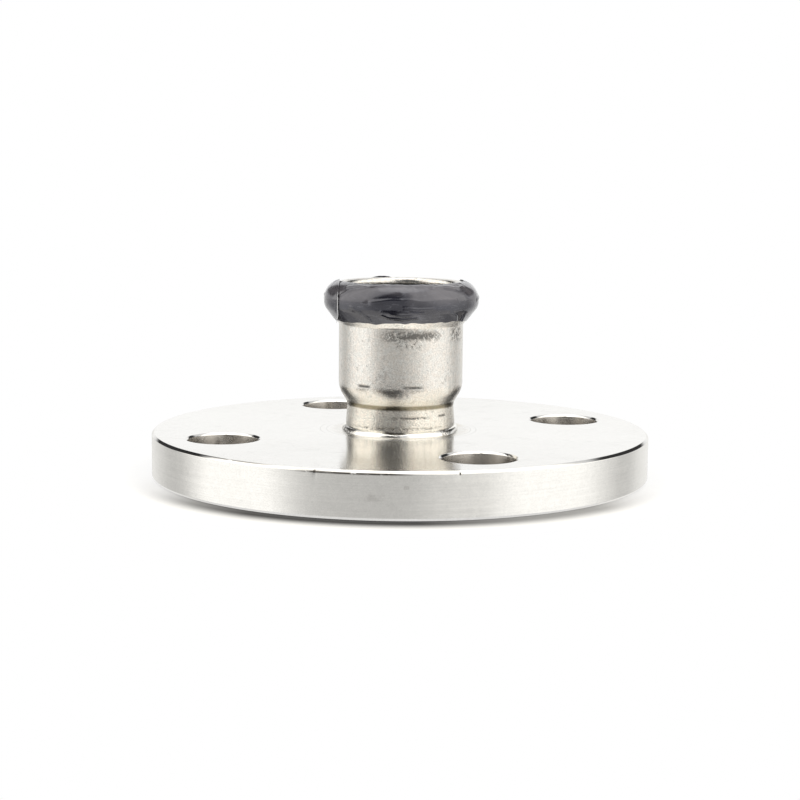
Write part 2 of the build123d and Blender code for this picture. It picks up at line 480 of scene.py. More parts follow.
def film_relief(view, along, length):
    """How far the film stands off the bead: puckers at both edges, slow swells, and creases.

    view is the angle to the right of the camera, from the seam round to past it, and along the
    distance from the lower edge, both as arrays that make up the grid.
    """
    low, high = along, length - along
    puckers = np.maximum(0, waves(view + low * 0.04, (19, 27, 41, 53), 31)) * 0.07 * np.exp(-((low / 1.7) ** 2))
    gathers = np.maximum(0, waves(view - high * 0.05, (23, 34, 47, 61), 32)) * 0.10 * np.exp(-((high / 1.9) ** 2))
    swells = 0.06 * (1 + waves(view + along * 0.12, (3, 5, 8, 12), 33)) * np.sin(math.pi * along / length)
    relief = puckers + gathers + swells
    for height, width, *path in FILM_CREASES:
        path = [(math.radians(degrees) * BEAD_RADIUS, share * length) for degrees, share in path]
        relief = relief + crease(view, along, height, width, path)
    return relief


def film_grid():
    """The film as one sheet wound a little more than once round the bead, closed by its own thickness.

    The angle runs from the seam through a full turn and the overlap. The outer layer of the overlap and
    its free edge stand off by smooth steps. Near the free edge the angle leans by the arc sine of an offset
    over the radius, so that the edge lies in one plane. The lower and upper edges wave by sums of sines.
    """
    line, right = film_line()
    line, right, length = evenly(line, right, 400)
    turn = np.linspace(0, FULL_TURN + FILM_OVERLAP, FILM_COLUMNS)[None]
    angle = FILM_SEAM - FILM_OVERLAP + turn
    view = angle_from(angle, FRONT_ANGLE + math.radians(129.0)) + math.radians(129.0)
    low = 0.55 + 0.5 * waves(view, (3, 5, 7), 41) + 0.14 * waves(view, (17, 29), 42)
    low = low - 0.45 * np.exp(-((angle_from(angle, seen_at(-50)) / 0.25) ** 2))
    low = low + 0.40 * np.exp(-((angle_from(angle, seen_at(-8)) / 0.20) ** 2))
    high = 0.35 + 0.22 * waves(view, (5, 9, 14, 23), 43) + 0.10 * waves(view, (31, 47, 63), 44)
    high = high - 0.35 * np.exp(-((angle_from(angle, seen_at(55)) / 0.12) ** 2))
    far = np.clip((np.abs(angle_from(angle, seen_at(4))) - 1.75) / 0.4, 0, 1)
    high = high + 1.5 * far * far * (3 - 2 * far) * (1 - np.exp(-((angle_from(angle, seen_at(198)) / 0.16) ** 2)))
    share = np.linspace(0, 1, FILM_ROWS)[:, None]
    along = np.clip(low, 0, None) + (length - np.clip(low, 0, None) - np.clip(high, 0, None)) * share
    relief = film_relief(view, along, length)
    last = (turn[0, -1] - turn) * BEAD_RADIUS
    places = np.linspace(0, length, len(line))
    base = [np.interp(along, places, line[:, k]) for k in (0, 1)]
    out = [np.interp(along, places, right[:, k]) for k in (0, 1)]
    lean = seen_at(0.0) - np.arcsin(np.clip(FILM_SEAM_OFFSET / base[0], 0, 0.93)) - FILM_SEAM
    angle = angle + lean * np.exp(-((last / 6.5) ** 2))
    over = np.clip((FILM_OVERLAP * 1.25 * BEAD_RADIUS - last) / 1.2, 0, 1)
    over = over * over * (3 - 2 * over)
    low_corner = np.exp(-((last / 1.1) ** 2) - (((along - low) / 1.3) ** 2))
    off = relief + over * (FILM_THICKNESS + 0.03) + 0.10 * np.exp(-((last / 0.35) ** 2)) + 0.55 * low_corner
    flap = np.exp(-((angle_from(angle, seen_at(62)) / 0.13) ** 2)) * np.exp(-(((length - along) / 0.9) ** 2))
    off = off + 0.32 * flap
    sheets = []
    for step in (FILM_THICKNESS, 0.0):
        radius = base[0] + out[0] * (off + step)
        height = np.minimum(base[1] + out[1] * (off + step), 39.22 - (FILM_THICKNESS - step))
        sheets.append(np.stack([radius * np.cos(angle), radius * np.sin(angle), height], axis=-1))
    return sheets


def film_grids():
    """The film's outer and inner sides and the four narrow strips that close them along their edges."""
    outer, inner = film_grid()
    strips = [np.stack([inner[0], outer[0]]), np.stack([outer[-1], inner[-1]]),
              np.stack([outer[:, 0], inner[:, 0]], axis=1), np.stack([inner[:, -1], outer[:, -1]], axis=1)]
    strips[2], strips[3] = strips[2][:, ::-1], strips[3][:, ::-1]
    parts = [(outer, False, False), (inner[:, ::-1], False, False)] + [(strip, False, False) for strip in strips]
    return parts, [0, 1, 2, 2, 2, 2]


# Materials


class Nodes:
    """Short calls for building one node tree. A value is a number, a colour, a vector or another node's output."""

    def __init__(self, tree):
        self.tree = tree

    def put(self, socket, value):
        if isinstance(value, bpy.types.NodeSocket):
            self.tree.links.new(value, socket)
        else:
            socket.default_value = value

    def add(self, kind, inputs=None, **settings):
        node = self.tree.nodes.new("ShaderNode" + kind)
        for name, value in settings.items():
            setattr(node, name, value)
        for name, value in (inputs or {}).items():
            self.put(node.inputs[name], value)
        return node

    def math(self, operation, *values, clamp=False):
        node = self.add("Math", operation=operation, use_clamp=clamp)
        for k, value in enumerate(values):
            self.put(node.inputs[k], value)
        return node.outputs[0]

    def vector(self, operation, *values):
        node = self.add("VectorMath", operation=operation)
        for k, value in enumerate(values):
            self.put(node.inputs[k], value)
        return node.outputs["Value" if operation in ("LENGTH", "DOT_PRODUCT") else "Vector"]

    def spread(self, value, low, high, to_low=0.0, to_high=1.0, smooth=True):
        """Value brought from low..high to to_low..to_high, held at both ends."""
        node = self.add("MapRange", {"Value": value, "From Min": low, "From Max": high, "To Min": to_low,
                                     "To Max": to_high}, interpolation_type="SMOOTHSTEP" if smooth else "LINEAR")
        return node.outputs["Result"]

    def mix(self, share, first, second, blend="MIX"):
        node = self.add("Mix", data_type="RGBA", blend_type=blend)
        for k, value in ((0, share), (6, first), (7, second)):
            self.put(node.inputs[k], value)
        return node.outputs[2]

    def noise(self, vector, scale, detail=2.0, roughness=0.5, distortion=0.0):
        node = self.add("TexNoise", {"Vector": vector, "Scale": scale, "Detail": detail, "Roughness": roughness,
                                     "Distortion": distortion})
        return node.outputs["Fac"]

    def ramp(self, share, stops, interpolation="LINEAR"):
        node = self.add("ValToRGB", {"Fac": share})
        ramp = node.color_ramp
        ramp.interpolation = interpolation
        for k, (place, colour) in enumerate(stops):
            stop = ramp.elements[k] if k < 2 else ramp.elements.new(place)
            stop.position = place
            stop.color = colour if len(colour) == 4 else (*colour, 1.0)
        return node.outputs["Color"]

    def vector_turned(self, vector):
        """The vector turned about Z so that the camera's direction becomes X."""
        return self.add("VectorRotate", {"Vector": vector, "Angle": -FRONT_ANGLE}, rotation_type="Z_AXIS").outputs[0]

    def use(self, group, **inputs):
        node = self.add("Group", node_tree=group)
        for name, value in inputs.items():
            self.put(node.inputs[name.replace("_", " ")], value)
        return node.outputs


def new_group(name, inputs, outputs):
    """A node group with those sockets, and its nodes, its input's sockets and its output's sockets."""
    tree = bpy.data.node_groups.new(name, "ShaderNodeTree")
    for label, kind, value in inputs:
        socket = tree.interface.new_socket(label, in_out="INPUT", socket_type="NodeSocket" + kind)
        socket.default_value = value
    for label, kind in outputs:
        tree.interface.new_socket(label, in_out="OUTPUT", socket_type="NodeSocket" + kind)
    n = Nodes(tree)
    return tree, n, tree.nodes.new("NodeGroupInput").outputs, tree.nodes.new("NodeGroupOutput").inputs


def make_round_axis():
    """Where a point lies round the fitting's axis: its angle, its distance from the axis and its height."""
    tree, n, _, out = new_group("round_axis", [], [("Angle", "Float"), ("Radius", "Float"), ("Height", "Float"),
                                                   ("Direction", "Vector"), ("Position", "Vector")])
    position = n.add("TexCoord").outputs["Object"]
    split = n.add("SeparateXYZ", {"Vector": position}).outputs
    flat = n.add("CombineXYZ", {"X": split["X"], "Y": split["Y"]}).outputs["Vector"]
    n.put(out["Angle"], n.math("ARCTAN2", split["Y"], split["X"]))
    n.put(out["Radius"], n.vector("LENGTH", flat))
    n.put(out["Height"], split["Z"])
    n.put(out["Direction"], n.vector("NORMALIZE", flat))
    n.put(out["Position"], position)
    return tree


def make_turned_lines(round_axis):
    """Fine marks of the turning tool: noise drawn out round the axis and packed tightly across it."""
    tree, n, inp, out = new_group("turned_lines", [("Pitch", "Float", 0.0002), ("Stretch", "Float", 2.0)],
                                  [("Lines", "Float")])
    place = n.use(round_axis)
    across = n.math("DIVIDE", n.math("ADD", place["Radius"], place["Height"]), inp["Pitch"])
    rounded = n.vector("MULTIPLY", place["Direction"], n.add("CombineXYZ", {"X": inp["Stretch"], "Y": inp["Stretch"]}).outputs[0])
    vector = n.vector("ADD", rounded, n.add("CombineXYZ", {"Z": across}).outputs[0])
    n.put(out["Lines"], n.noise(vector, 1.0, 2.0, 0.6))
    return tree


def make_patch(round_axis):
    """A soft-edged patch round the axis: 1 at its middle, 0 past its half width in angle or height."""
    tree, n, inp, out = new_group(
        "patch", [("Middle Angle", "Float", 0.0), ("Half Angle", "Float", 0.3), ("Middle Height", "Float", 0.02),
                  ("Half Height", "Float", 0.001)], [("Mask", "Float")])
    place = n.use(round_axis)
    off = n.math("ARCCOSINE", n.math("COSINE", n.math("SUBTRACT", place["Angle"], inp["Middle Angle"])))
    round_share = n.math("DIVIDE", off, inp["Half Angle"])
    up_share = n.math("DIVIDE", n.math("ABSOLUTE", n.math("SUBTRACT", place["Height"], inp["Middle Height"])),
                      inp["Half Height"])
    n.put(out["Mask"], n.math("MULTIPLY", n.spread(round_share, 1.0, 0.45), n.spread(up_share, 1.0, 0.2)))
    return tree


def make_specks():
    """Dark marks inside a mask: fine dots over soft blotches three times their size, both of noise cut at a level."""
    tree, n, inp, out = new_group("specks", [("Mask", "Float", 1.0), ("Scale", "Float", 3200.0),
                                             ("Level", "Float", 0.5)], [("Marks", "Float")])
    position = n.add("TexCoord").outputs["Object"]
    dots = n.noise(position, inp["Scale"], 2.0, 0.6)
    dots = n.spread(n.math("SUBTRACT", dots, inp["Level"]), -0.06, 0.10)
    blotches = n.noise(position, n.math("MULTIPLY", inp["Scale"], 0.33), 2.0, 0.5)
    blotches = n.spread(n.math("SUBTRACT", blotches, inp["Level"]), -0.10, 0.10)
    both = n.math("MULTIPLY", blotches, n.math("ADD", 0.35, n.math("MULTIPLY", dots, 0.65)))
    n.put(out["Marks"], n.math("MULTIPLY", both, inp["Mask"]))
    return tree


ROUND_AXIS = make_round_axis()
TURNED_LINES = make_turned_lines(ROUND_AXIS)
PATCH = make_patch(ROUND_AXIS)
SPECKS = make_specks()


def new_material(name, **constants):
    """A material with one Principled shader, the constants set on its own sockets, and its nodes."""
    material = bpy.data.materials.new(name)
    material.use_nodes = True
    material.node_tree.nodes.clear()
    n = Nodes(material.node_tree)
    shader = n.add("BsdfPrincipled", {label.replace("_", " "): value for label, value in constants.items()})
    output = n.add("OutputMaterial")
    n.put(output.inputs["Surface"], shader.outputs[0])
    return material, n, shader.inputs


def grey(value):
    return (value, value, value, 1.0)


def turned_steel():
    """Bright turned stainless steel: tool marks round the axis, faint handling marks, heat tint at the weld, and
    painted shade in the rim's dents, along its upper chamfer, and on the hole walls and the bore.
    """
    material, n, shader = new_material("turned_steel", Metallic=1.0, Anisotropic=0.55, Anisotropic_Rotation=0.25)
    place = n.use(ROUND_AXIS)
    zone = n.add("Attribute", attribute_name="zone").outputs["Fac"]
    on_rim = n.spread(zone, 0.4, 0.6)
    in_hole = n.math("SUBTRACT", n.spread(zone, 1.4, 1.6), n.spread(zone, 2.4, 2.6))
    on_edge = n.spread(zone, 2.4, 2.6)
    lines = n.use(TURNED_LINES, Pitch=0.00022, Stretch=3.0)["Lines"]
    coarse = n.use(TURNED_LINES, Pitch=0.0011, Stretch=1.2)["Lines"]
    cloud = n.noise(place["Position"], 60.0, 4.0, 0.6)
    smear = n.noise(n.vector("MULTIPLY", place["Position"], (1.0, 1.0, 3.0)), 210.0, 5.0, 0.65, 0.6)
    colour = n.mix(n.spread(cloud, 0.3, 0.7), (0.745, 0.735, 0.715, 1), (0.775, 0.765, 0.745, 1))
    shade = n.math("ADD", n.math("MULTIPLY", n.math("SUBTRACT", lines, 0.5), 0.16),
                   n.math("MULTIPLY", n.math("SUBTRACT", coarse, 0.5), 0.06))
    shade = n.math("MULTIPLY", shade, n.spread(on_rim, 0, 1, 0.35, 1.0, smooth=False))
    colour = n.mix(1.0, colour, n.add("CombineColor", {k: n.math("ADD", shade, 1.0) for k in ("Red", "Green", "Blue")}
                                      ).outputs[0], "MULTIPLY")
    near_weld = n.spread(place["Radius"], 0.0150, 0.0127)
    colour = n.mix(n.math("MULTIPLY", near_weld, n.math("MULTIPLY", n.spread(cloud, 0.35, 0.6), 0.55)), colour,
                   (0.62, 0.56, 0.44, 1))
    on_face = n.spread(zone, 0.1, 0.0)
    grain = n.noise(place["Position"], 3300.0, 2.0, 0.6)
    mottle = n.math("ADD", n.math("MULTIPLY", n.math("SUBTRACT", grain, 0.5), 0.20), n.math(
        "MULTIPLY", n.math("SUBTRACT", n.noise(place["Position"], 900.0, 3.0, 0.5), 0.5), 0.12))
    colour = n.mix(1.0, colour, n.add("CombineColor", {k: n.math("ADD", mottle, 1.0) for k in (
        "Red", "Green", "Blue")}).outputs[0], "MULTIPLY")
    for ring, degrees, half in ((14.3, 66, 62), (15.4, 74, 46), (14.9, -82, 44), (16.2, -88, 28)):
        ring_line = n.spread(n.math("ABSOLUTE", n.math("SUBTRACT", place["Radius"], ring * MM)), 0.00016, 0.00003)
        part = n.use(PATCH, Middle_Angle=seen_at(degrees), Half_Angle=math.radians(half), Middle_Height=0.009,
                     Half_Height=0.001)["Mask"]
        ring_line = n.math("MULTIPLY", ring_line, n.math("MULTIPLY", part, n.spread(cloud, 0.3, 0.5)))
        colour = n.mix(n.math("MULTIPLY", ring_line, 0.5), colour, (0.42, 0.41, 0.39, 1))
    colour = n.mix(n.math("MULTIPLY", on_face, n.math("MULTIPLY", n.spread(smear, 0.52, 0.72), 0.09)), colour,
                   (0.45, 0.44, 0.43, 1))
    marks = n.use(SPECKS, Mask=n.spread(smear, 0.60, 0.78), Scale=1800.0, Level=0.52)["Marks"]
    spot = n.use(PATCH, Middle_Angle=seen_at(-5.0), Half_Angle=0.045, Middle_Height=0.0045, Half_Height=0.0016)["Mask"]
    dot = n.use(PATCH, Middle_Angle=seen_at(1.4), Half_Angle=0.012, Middle_Height=0.0061, Half_Height=0.0005)["Mask"]
    soil = n.math("MULTIPLY", on_rim, n.math("ADD", n.math("MULTIPLY", spot, n.spread(smear, 0.45, 0.62)), n.math(
        "MULTIPLY", dot, 2.0)), clamp=True)
    colour = n.mix(n.math("MULTIPLY", n.math("MAXIMUM", n.math("MULTIPLY", marks, on_rim), soil), 0.22), colour,
                   (0.30, 0.27, 0.25, 1))
    at_rim = n.spread(place["Radius"], 0.0493, 0.0496)
    # Painted shade: the rim's dents are coloured nearly black where they cut the upper edge.
    for nick_angle, width, _ in NICKS:
        nick_shade = n.use(PATCH, Middle_Angle=nick_angle, Half_Angle=width / FLANGE_RADIUS, Middle_Height=0.0085,
                     Half_Height=0.0004)["Mask"]
        colour = n.mix(n.math("MULTIPLY", nick_shade, at_rim), colour, (0.05, 0.045, 0.04, 1))
    # Painted shade: thin dark lines along the edges of the rim's upper chamfer, in front and to the left.
    for degrees, half, height, half_height, share in ((-9.5, 0.26, 8.47, 0.30, 1.0), (-42.0, 0.32, 8.92, 0.14, 0.8)):
        chamfer_shade_line = n.use(PATCH, Middle_Angle=seen_at(degrees), Half_Angle=half, Middle_Height=height * MM,
                           Half_Height=half_height * MM)["Mask"]
        chamfer_shade_line = n.math("MULTIPLY", chamfer_shade_line, n.math("MULTIPLY", at_rim, n.spread(smear, 0.34, 0.46)))
        colour = n.mix(n.math("MULTIPLY", chamfer_shade_line, share), colour, (0.10, 0.09, 0.08, 1))
    # Painted shade: the walls of the bolt holes and the bore are coloured darker, with turning marks.
    colour = n.mix(in_hole, colour, n.mix(n.spread(lines, 0.3, 0.7), (0.46, 0.44, 0.41, 1), (0.545, 0.52, 0.49, 1)))
    n.put(shader["Base Color"], colour)
    rough = n.math("ADD", n.spread(zone, 0.0, 1.0, 0.15, 0.20, smooth=False), n.math(
        "MULTIPLY", n.math("SUBTRACT", coarse, 0.5), 0.05))
    rough = n.math("ADD", rough, n.math("MULTIPLY", in_hole, 0.06))
    rough = n.math("SUBTRACT", rough, n.math("MULTIPLY", on_edge, 0.15))
    rough = n.math("ADD", rough, n.math("MULTIPLY", near_weld, 0.14))
    n.put(shader["Roughness"], n.math("ADD", rough, n.math("MULTIPLY", n.spread(smear, 0.5, 0.75), 0.05)))
    height = n.math("ADD", n.math("MULTIPLY", lines, n.spread(zone, 0, 1, 0.25, 1.0, smooth=False)), n.math(
        "MULTIPLY", n.noise(place["Position"], 2600.0, 3.0, 0.6), n.math("MULTIPLY", near_weld, 3.0)))
    bump = n.add("Bump", {"Height": height, "Strength": 0.12, "Distance": 0.00006})
    n.put(shader["Normal"], bump.outputs[0])
    n.put(shader["Tangent"], n.add("Tangent", direction_type="RADIAL", axis="Z").outputs[0])
    return material


# Dark speckled patches on the tube as (degrees to the right of the camera, half width in degrees,
# height, half height, level at which the noise turns dark); the first six darken a band just under the bead, the others
# are scuffs of the forming tools
SPECKLED_PATCHES = (
    (12, 36, 29.1, 1.6, 0.42), (14, 20, 29.0, 1.1, 0.34), (8, 16, 27.6, 1.6, 0.54), (62, 14, 29.0, 2.3, 0.46), (118, 34, 29.1, 1.6, 0.48),
    (205, 40, 29.2, 1.7, 0.48), (-35, 9, 18.9, 0.42, 0.34), (11, 12, 18.9, 0.42, 0.34), (100, 20, 18.9, 0.4, 0.42),
    (176, 16, 18.9, 0.4, 0.42), (240, 14, 18.9, 0.4, 0.42), (12, 26, 12.6, 0.40, 0.43), (50, 8, 12.8, 0.4, 0.42),
    (140, 26, 12.6, 0.35, 0.44), (228, 20, 12.7, 0.35, 0.44), (-4, 70, 10.5, 0.4, 0.50), (130, 70, 10.4, 0.4, 0.51))


def pickled_steel():
    """Pickled and formed stainless tube: fine grain, warm tint, a darker speckled band just under the bead, and the
    dark scuffs of the forming tools.
    """
    material, n, shader = new_material("pickled_steel", Metallic=1.0)
    place = n.use(ROUND_AXIS)
    position = place["Position"]
    grain = n.noise(position, 3600.0, 3.0, 0.7)
    blotch = n.noise(position, 420.0, 4.0, 0.6, 0.4)
    tone = n.noise(position, 1100.0, 2.0, 0.5)
    colour = n.mix(n.spread(blotch, 0.3, 0.7), (0.66, 0.635, 0.60, 1), (0.72, 0.70, 0.67, 1))
    colour = n.mix(n.math("MULTIPLY", n.spread(tone, 0.35, 0.7), 0.35), colour, (0.70, 0.66, 0.585, 1))
    low = n.spread(place["Height"], 0.0185, 0.0150)
    colour = n.mix(n.math("MULTIPLY", low, 0.45), colour, (0.70, 0.655, 0.56, 1))
    foot = n.spread(n.math("ABSOLUTE", n.math("SUBTRACT", place["Height"], 0.01462)), 0.00066, 0.00022)
    colour = n.mix(n.math("MULTIPLY", foot, n.spread(grain, 0.3, 0.6, 0.65, 1.0)), colour, (0.22, 0.19, 0.125, 1))
    dark = None
    for degrees, half, height, half_height, level in SPECKLED_PATCHES:
        mask = n.use(PATCH, Middle_Angle=seen_at(degrees), Half_Angle=math.radians(half), Middle_Height=height * MM,
                     Half_Height=half_height * MM)["Mask"]
        marks = n.use(SPECKS, Mask=mask, Scale=4200.0, Level=level)["Marks"]
        dark = marks if dark is None else n.math("MAXIMUM", dark, marks)
    loose = n.use(SPECKS, Mask=n.spread(blotch, 0.48, 0.70), Scale=3000.0, Level=0.54)["Marks"]
    dark = n.math("MAXIMUM", dark, n.math("MULTIPLY", loose, 0.55))
    colour = n.mix(n.math("MULTIPLY", dark, 0.85), colour, (0.07, 0.068, 0.066, 1))
    speckle = n.math("ADD", 1.0, n.math("MULTIPLY", n.math("SUBTRACT", grain, 0.5), 0.90))
    tint = n.math("ADD", 1.0, n.math("MULTIPLY", n.math("SUBTRACT", tone, 0.5), 0.10))
    colour = n.mix(1.0, colour, n.add("CombineColor", {"Red": n.math("MULTIPLY", speckle, tint), "Green": speckle,
                                                       "Blue": speckle}).outputs[0], "MULTIPLY")
    n.put(shader["Base Color"], colour)
    rough = n.math("ADD", 0.12, n.math("MULTIPLY", grain, 0.10))
    n.put(shader["Roughness"], n.math("ADD", rough, n.math("MULTIPLY", dark, 0.25)))
    height = n.math("SUBTRACT", n.math("ADD", grain, n.math("MULTIPLY", tone, 0.8)), n.math("MULTIPLY", dark, 1.2))
    bump = n.add("Bump", {"Height": height, "Strength": 0.5, "Distance": 0.00008})
    n.put(shader["Normal"], bump.outputs[0])
    return material


def weld_metal():
    """Weld bead: bright rippled metal with straw and brown heat tint in patches."""
    material, n, shader = new_material("weld_metal", Metallic=1.0)
    position = n.use(ROUND_AXIS)["Position"]
    cloud = n.noise(position, 500.0, 4.0, 0.6, 0.5)
    fine = n.noise(position, 2200.0, 3.0, 0.7)
    colour = n.ramp(n.spread(cloud, 0.32, 0.85), [(0.0, (0.85, 0.84, 0.81)), (0.65, (0.84, 0.82, 0.77)),
                                                 (0.88, (0.72, 0.66, 0.54)), (1.0, (0.52, 0.45, 0.34))])
    marks = None
    for degrees, half, height, half_height, level in (
            (-66, 24, 9.3, 3.0, 0.43), (50, 9, 9.6, 1.5, 0.46), (-6, 13, 9.75, 0.30, 0.20), (160, 60, 9.2, 3.0, 0.50)):
        patch = n.use(PATCH, Middle_Angle=seen_at(degrees), Half_Angle=math.radians(half), Middle_Height=height * MM,
                      Half_Height=half_height * MM)["Mask"]
        burnt = n.use(SPECKS, Mask=patch, Scale=2600.0, Level=level)["Marks"]
        marks = burnt if marks is None else n.math("MAXIMUM", marks, burnt)
    n.put(shader["Base Color"], n.mix(n.math("MULTIPLY", marks, 0.9), colour, (0.07, 0.06, 0.05, 1)))
    n.put(shader["Roughness"], n.math("ADD", 0.10, n.math("MULTIPLY", n.math("ADD", fine, marks), 0.12)))
    bump = n.add("Bump", {"Height": fine, "Strength": 0.15, "Distance": 0.00004})
    n.put(shader["Normal"], bump.outputs[0])
    return material


def seal_rubber():
    """Black rubber with a dull, faintly mottled skin."""
    material, n, shader = new_material("seal_rubber", Metallic=0.0)
    position = n.use(ROUND_AXIS)["Position"]
    mottle = n.noise(position, 900.0, 4.0, 0.6)
    n.put(shader["Base Color"], n.mix(n.spread(mottle, 0.3, 0.7), (0.012, 0.012, 0.013, 1), (0.028, 0.028, 0.029, 1)))
    n.put(shader["Roughness"], n.spread(mottle, 0.2, 0.8, 0.48, 0.66))
    n.put(shader["Normal"], n.add("Bump", {"Height": mottle, "Strength": 0.15, "Distance": 0.00004}).outputs[0])
    return material


def press_film():
    """Dark blue-grey plastic film: glossy, faintly cloudy, with paler stretch streaks, a painted highlight over its
    upper part, and painted highlights along its free and cut edges.
    """
    material, n, shader = new_material("press_film", Metallic=0.0, IOR=1.50, Specular_IOR_Level=0.9,
                                       Specular_Tint=(0.90, 0.91, 1.0, 1.0), Sheen_Weight=0.5, Sheen_Roughness=0.25,
                                       Sheen_Tint=(0.92, 0.94, 1.0, 1.0))
    place = n.use(ROUND_AXIS)
    position = place["Position"]
    uv = n.add("TexCoord").outputs["UV"]
    across = n.add("SeparateXYZ", {"Vector": uv}).outputs
    zone = n.add("Attribute", attribute_name="zone").outputs["Fac"]
    cloud = n.noise(position, 160.0, 4.0, 0.55, 0.8)
    streak = n.noise(n.vector("MULTIPLY", position, (1.0, 1.0, 3.5)), 420.0, 3.0, 0.6, 1.2)
    colour = n.mix(n.spread(cloud, 0.3, 0.7), (0.008, 0.008, 0.013, 1), (0.020, 0.020, 0.029, 1))
    # Painted highlight: the film's upper part is coloured lighter, except in a patch at the front, which stays dark.
    unhighlighted_front = n.use(PATCH, Middle_Angle=seen_at(-8.0), Half_Angle=0.34, Middle_Height=0.0362, Half_Height=0.0022)["Mask"]
    top_highlight = n.math("MULTIPLY", n.spread(place["Height"], 0.0345, 0.0366), n.math("SUBTRACT", 1.0, unhighlighted_front))
    top_highlight = n.math("MULTIPLY", top_highlight, n.spread(cloud, 0.3, 0.7, 0.35, 1.0))
    colour = n.mix(top_highlight, colour, (0.098, 0.091, 0.098, 1))
    colour = n.mix(n.math("MULTIPLY", n.spread(streak, 0.54, 0.70), 0.5), colour, (0.11, 0.11, 0.125, 1))
    # Painted highlight: pale lines along the film's free edge and its cut edges, up to about 37 mm high.
    free_edge_highlight = n.spread(across["X"], 0.9966, 0.9978)
    edge = n.math("MAXIMUM", free_edge_highlight, n.spread(zone, 1.4, 1.6))
    edge = n.math("MULTIPLY", edge, n.spread(place["Height"], 0.0376, 0.0368))
    colour = n.mix(n.math("MULTIPLY", edge, 0.85), colour, (0.60, 0.60, 0.61, 1))
    n.put(shader["Base Color"], colour)
    n.put(shader["Roughness"], n.spread(cloud, 0.3, 0.7, 0.06, 0.15))
    height = n.math("ADD", n.noise(position, 700.0, 3.0, 0.5, 0.6), n.math("MULTIPLY", streak, 0.8))
    bump = n.add("Bump", {"Height": height, "Strength": 0.16, "Distance": 0.00012})
    n.put(shader["Normal"], bump.outputs[0])
    return material


# The pieces

rim_parts, rim_zones = flange_grids()
flange_piece = finish_piece(mesh_object("flange_turned", rim_parts, 24.0, rim_zones, merge=0.002), turned_steel(),
                            "flange")
tube_piece = finish_piece(mesh_object("tube_formed", [(formed_tube_grid(), True, True)]), pickled_steel(),
                          "formed_tube")
weld_finish = weld_metal()
outer_weld_piece = finish_piece(mesh_object("weld_round_neck", [(outer_weld_grid(), True, True)], 60.0), weld_finish,
                                "outer_weld")
inner_weld_piece = finish_piece(mesh_object("weld_at_sealing_face", [(inner_weld_grid(), True, True)], 60.0),
                                weld_finish, "inner_weld")
seal_piece = finish_piece(mesh_object("seal_ring_rubber", [(seal_ring_grid(), True, True)], 80.0), seal_rubber(),
                          "seal_ring")
film_parts, film_zones = film_grids()
film_piece = finish_piece(mesh_object("film_shrunk", film_parts, 50.0, film_zones, merge=0.0002), press_film(),
                          "press_film")


# Floor, studio and camera

FLOOR_HALF = 6.0
SHADOW_END = 60.0

# Depth of the contact shadow by millimetres from the axis, and its strength by degrees from the camera
SHADOW_FALL = ((49.5, 0.10), (51.0, 0.09), (52.0, 0.06), (52.8, 0.15), (53.6, 0.29), (54.5, 0.50), (55.4, 0.70),
               (56.3, 0.84), (57.3, 0.93), (59.0, 0.98), (SHADOW_END, 1.0))
SHADOW_ROUND = ((-180, 0.25), (-110, 0.15), (-80, 0.10), (-66, 0.22), (-52, 0.62), (-42, 0.82), (-32, 0.97), (4, 1.0),
                (12, 0.88), (25, 0.74), (45, 0.62), (58, 0.27), (70, 0.06), (110, 0.06), (180, 0.25))

# Share of plain white in the floor close to the fitting, by degrees from the camera
WHITE_ROUND = ((-180, 0.55), (-110, 0.8), (-84, 0.78), (-66, 0.45), (-48, 0.0), (48, 0.0), (62, 0.35), (80, 0.75),
               (110, 0.8), (180, 0.55))


